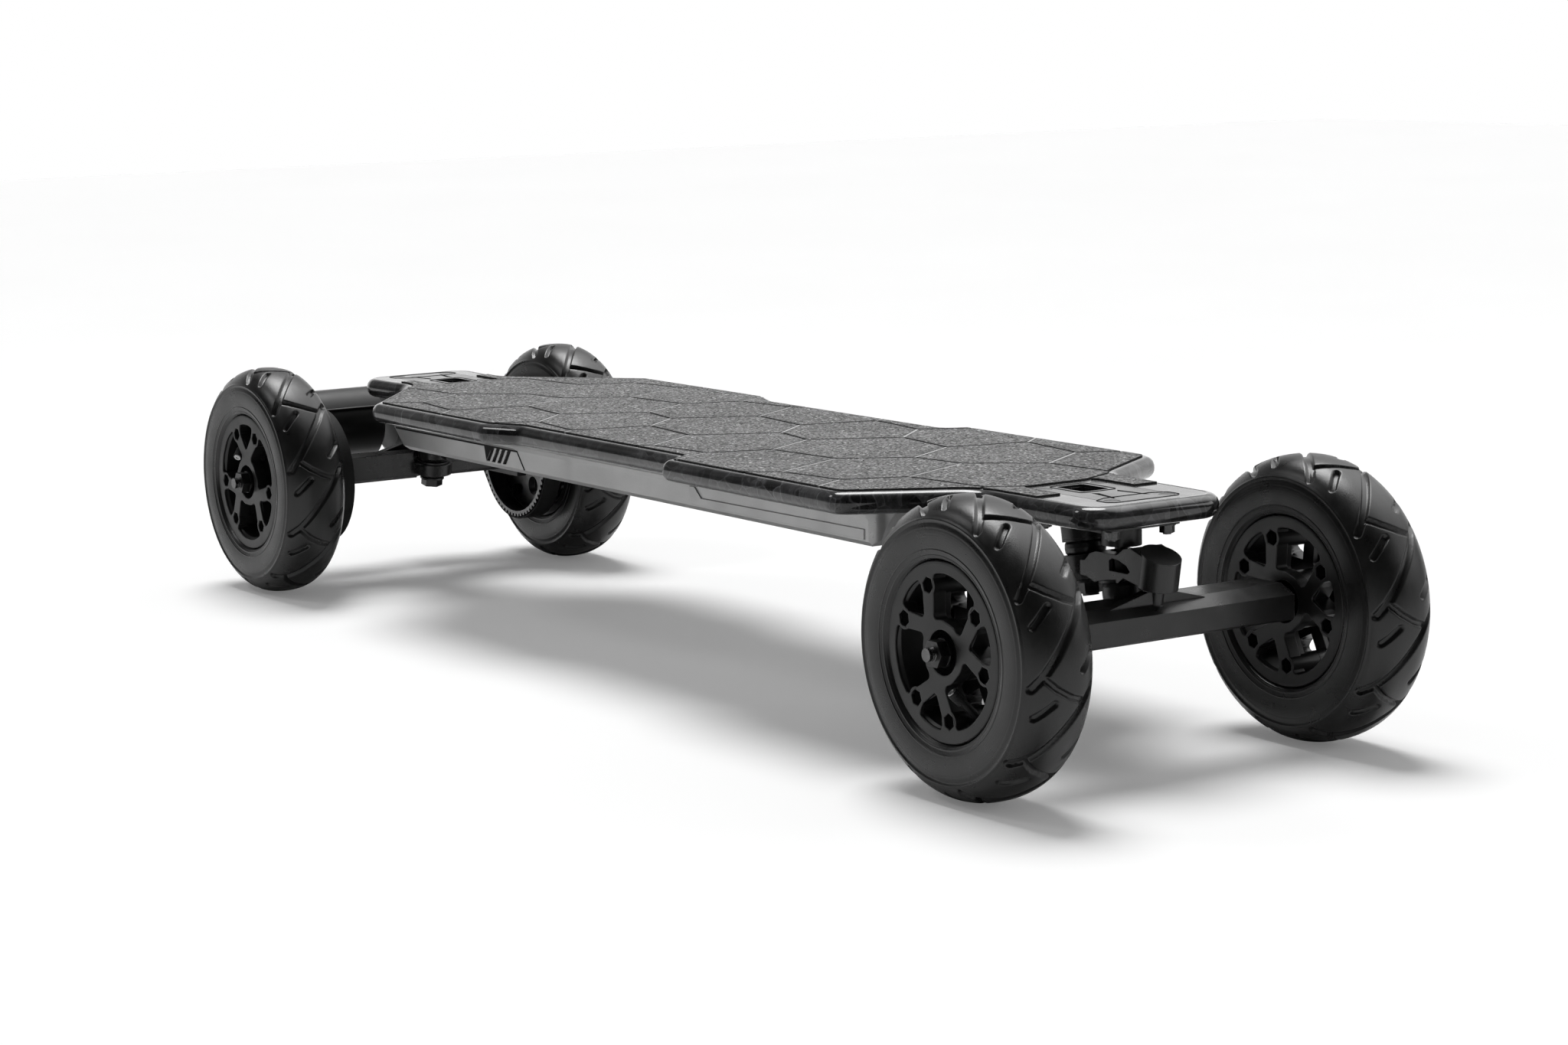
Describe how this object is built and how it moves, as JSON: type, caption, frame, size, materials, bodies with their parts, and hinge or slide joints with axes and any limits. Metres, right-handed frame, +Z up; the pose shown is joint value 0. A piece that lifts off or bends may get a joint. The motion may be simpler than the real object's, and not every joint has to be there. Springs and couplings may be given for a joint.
{
  "type": "electric longboard",
  "caption": "Electric longboard: winged carbon deck on double-pivot trucks with pneumatic tyres, belt-driven rear wheels and a battery enclosure under the deck",
  "frame": {"origin": "centre of the bottom of the bounding box, on the ground between the wheels", "axes": "+X towards the nose, +Y to the rider's left, +Z up"},
  "size_m": [1.0907, 0.327, 0.175],
  "materials": {
    "carbon": "glossy forged carbon fibre under clear coat",
    "grip": "gritty dark grey grip",
    "plate": "satin black",
    "cover": "satin grey-black moulded shell",
    "seal": "black foam rubber",
    "cell": "blue shrink sleeve",
    "board": "green circuit board",
    "sink": "cast, fine matt",
    "port": "black moulded",
    "button": "brushed",
    "fastener": "zinc plated",
    "black_bolt": "black oxide",
    "truck": "black powder coat",
    "urethane": "black urethane",
    "axle_steel": "turned steel",
    "motor": "satin black",
    "motor_cover": "satin dark grey",
    "stator": "copper windings on laminated iron",
    "rotor_steel": "ground steel",
    "belt": "black toothed belt",
    "pulley": "hard anodised",
    "tyre": "matt black tread",
    "tube": "black rubber",
    "rim": "satin black"
  },
  "bodies": {
    "deck": {"deck": "carbon", "grip": "grip", "nose_plate": "plate", "tail_plate": "plate", "battery_cover": "cover", "rear_cover": "cover", "gasket": "seal", "battery_cells": "cell", "battery_monitor": "board", "motor_controller": "board", "heat_sink": "sink", "charge_port": "port", "cover_screws": "black_bolt", "truck_bolts": "black_bolt", "front_base": "truck", "rear_base": "truck", "base_kingpins": "fastener", "front_base_bushings": "urethane", "rear_base_bushings": "urethane"},
    "power_button": {"power_button": "button"},
    "front_link": {"front_link": "truck", "front_link_kingpin": "fastener", "front_link_bushings": "urethane"},
    "rear_link": {"rear_link": "truck", "rear_link_kingpin": "fastener", "rear_link_bushings": "urethane"},
    "front_hanger": {"front_hanger": "truck", "front_axle": "axle_steel", "front_hanger_hardware": "fastener"},
    "rear_hanger": {"rear_hanger": "truck", "rear_axle": "axle_steel", "rear_hanger_hardware": "fastener", "motor_mounts": "motor", "motor_cans": "motor", "motor_covers": "motor_cover", "stators": "stator", "belts": "belt"},
    "left_rotor": {"left_rotor": "rotor_steel", "left_motor_pulley": "pulley"},
    "right_rotor": {"right_rotor": "rotor_steel", "right_motor_pulley": "pulley"},
    "front_left_wheel": {"fl_tyre": "tyre", "fl_tube": "tube", "fl_rim": "rim", "fl_hardware": "fastener"},
    "front_right_wheel": {"fr_tyre": "tyre", "fr_tube": "tube", "fr_rim": "rim", "fr_hardware": "fastener"},
    "rear_left_wheel": {"rl_tyre": "tyre", "rl_tube": "tube", "rl_rim": "rim", "rl_hardware": "fastener", "left_wheel_pulley": "pulley"},
    "rear_right_wheel": {"rr_tyre": "tyre", "rr_tube": "tube", "rr_rim": "rim", "rr_hardware": "fastener", "right_wheel_pulley": "pulley"}
  },
  "joints": [
    {"name": "front_link_lean", "type": "hinge", "parent": "deck", "child": "front_link", "pos_m": [0.40185, 0, 0.1155], "axis": [0.8599, 0, 0.5105], "range_deg": [-10, 10], "stiffness_Nm_per_rad": 60, "deforming": ["front_base_bushings"]},
    {"name": "front_hanger_lean", "type": "hinge", "parent": "front_link", "child": "front_hanger", "pos_m": [0.43785, 0, 0.088], "axis": [0.7377, 0, 0.6752], "range_deg": [-10, 10], "stiffness_Nm_per_rad": 60, "deforming": ["front_link_bushings"]},
    {"name": "rear_link_lean", "type": "hinge", "parent": "deck", "child": "rear_link", "pos_m": [-0.39015, 0, 0.1155], "axis": [-0.8599, 0, 0.5105], "range_deg": [-10, 10], "stiffness_Nm_per_rad": 60, "deforming": ["rear_base_bushings"]},
    {"name": "rear_hanger_lean", "type": "hinge", "parent": "rear_link", "child": "rear_hanger", "pos_m": [-0.42615, 0, 0.088], "axis": [-0.7377, 0, 0.6752], "range_deg": [-10, 10], "stiffness_Nm_per_rad": 60, "deforming": ["rear_link_bushings"]},
    {"name": "front_left_wheel_spin", "type": "hinge", "parent": "front_hanger", "child": "front_left_wheel", "pos_m": [0.45785, 0.1272, 0.0875], "axis": [0, 1, 0], "continuous": true},
    {"name": "front_right_wheel_spin", "type": "hinge", "parent": "front_hanger", "child": "front_right_wheel", "pos_m": [0.45785, -0.1272, 0.0875], "axis": [0, 1, 0], "continuous": true},
    {"name": "rear_left_wheel_spin", "type": "hinge", "parent": "rear_hanger", "child": "rear_left_wheel", "pos_m": [-0.44615, 0.13, 0.0875], "axis": [0, 1, 0], "continuous": true},
    {"name": "rear_right_wheel_spin", "type": "hinge", "parent": "rear_hanger", "child": "rear_right_wheel", "pos_m": [-0.44615, -0.13, 0.0875], "axis": [0, 1, 0], "continuous": true},
    {"name": "left_rotor_spin", "type": "hinge", "parent": "rear_hanger", "child": "left_rotor", "pos_m": [-0.51615, 0.09, 0.116], "axis": [0, 1, 0], "continuous": true},
    {"name": "right_rotor_spin", "type": "hinge", "parent": "rear_hanger", "child": "right_rotor", "pos_m": [-0.51615, -0.09, 0.116], "axis": [0, 1, 0], "continuous": true},
    {"name": "power_button_press", "type": "slide", "parent": "deck", "child": "power_button", "axis": [0, 0, 1], "range_m": [0, 0.0006], "stiffness_N_per_m": 800}
  ],
  "couplings": [
    {"joint": "left_rotor_spin", "follows": "rear_left_wheel_spin", "ratio": 4},
    {"joint": "right_rotor_spin", "follows": "rear_right_wheel_spin", "ratio": 4}
  ]
}
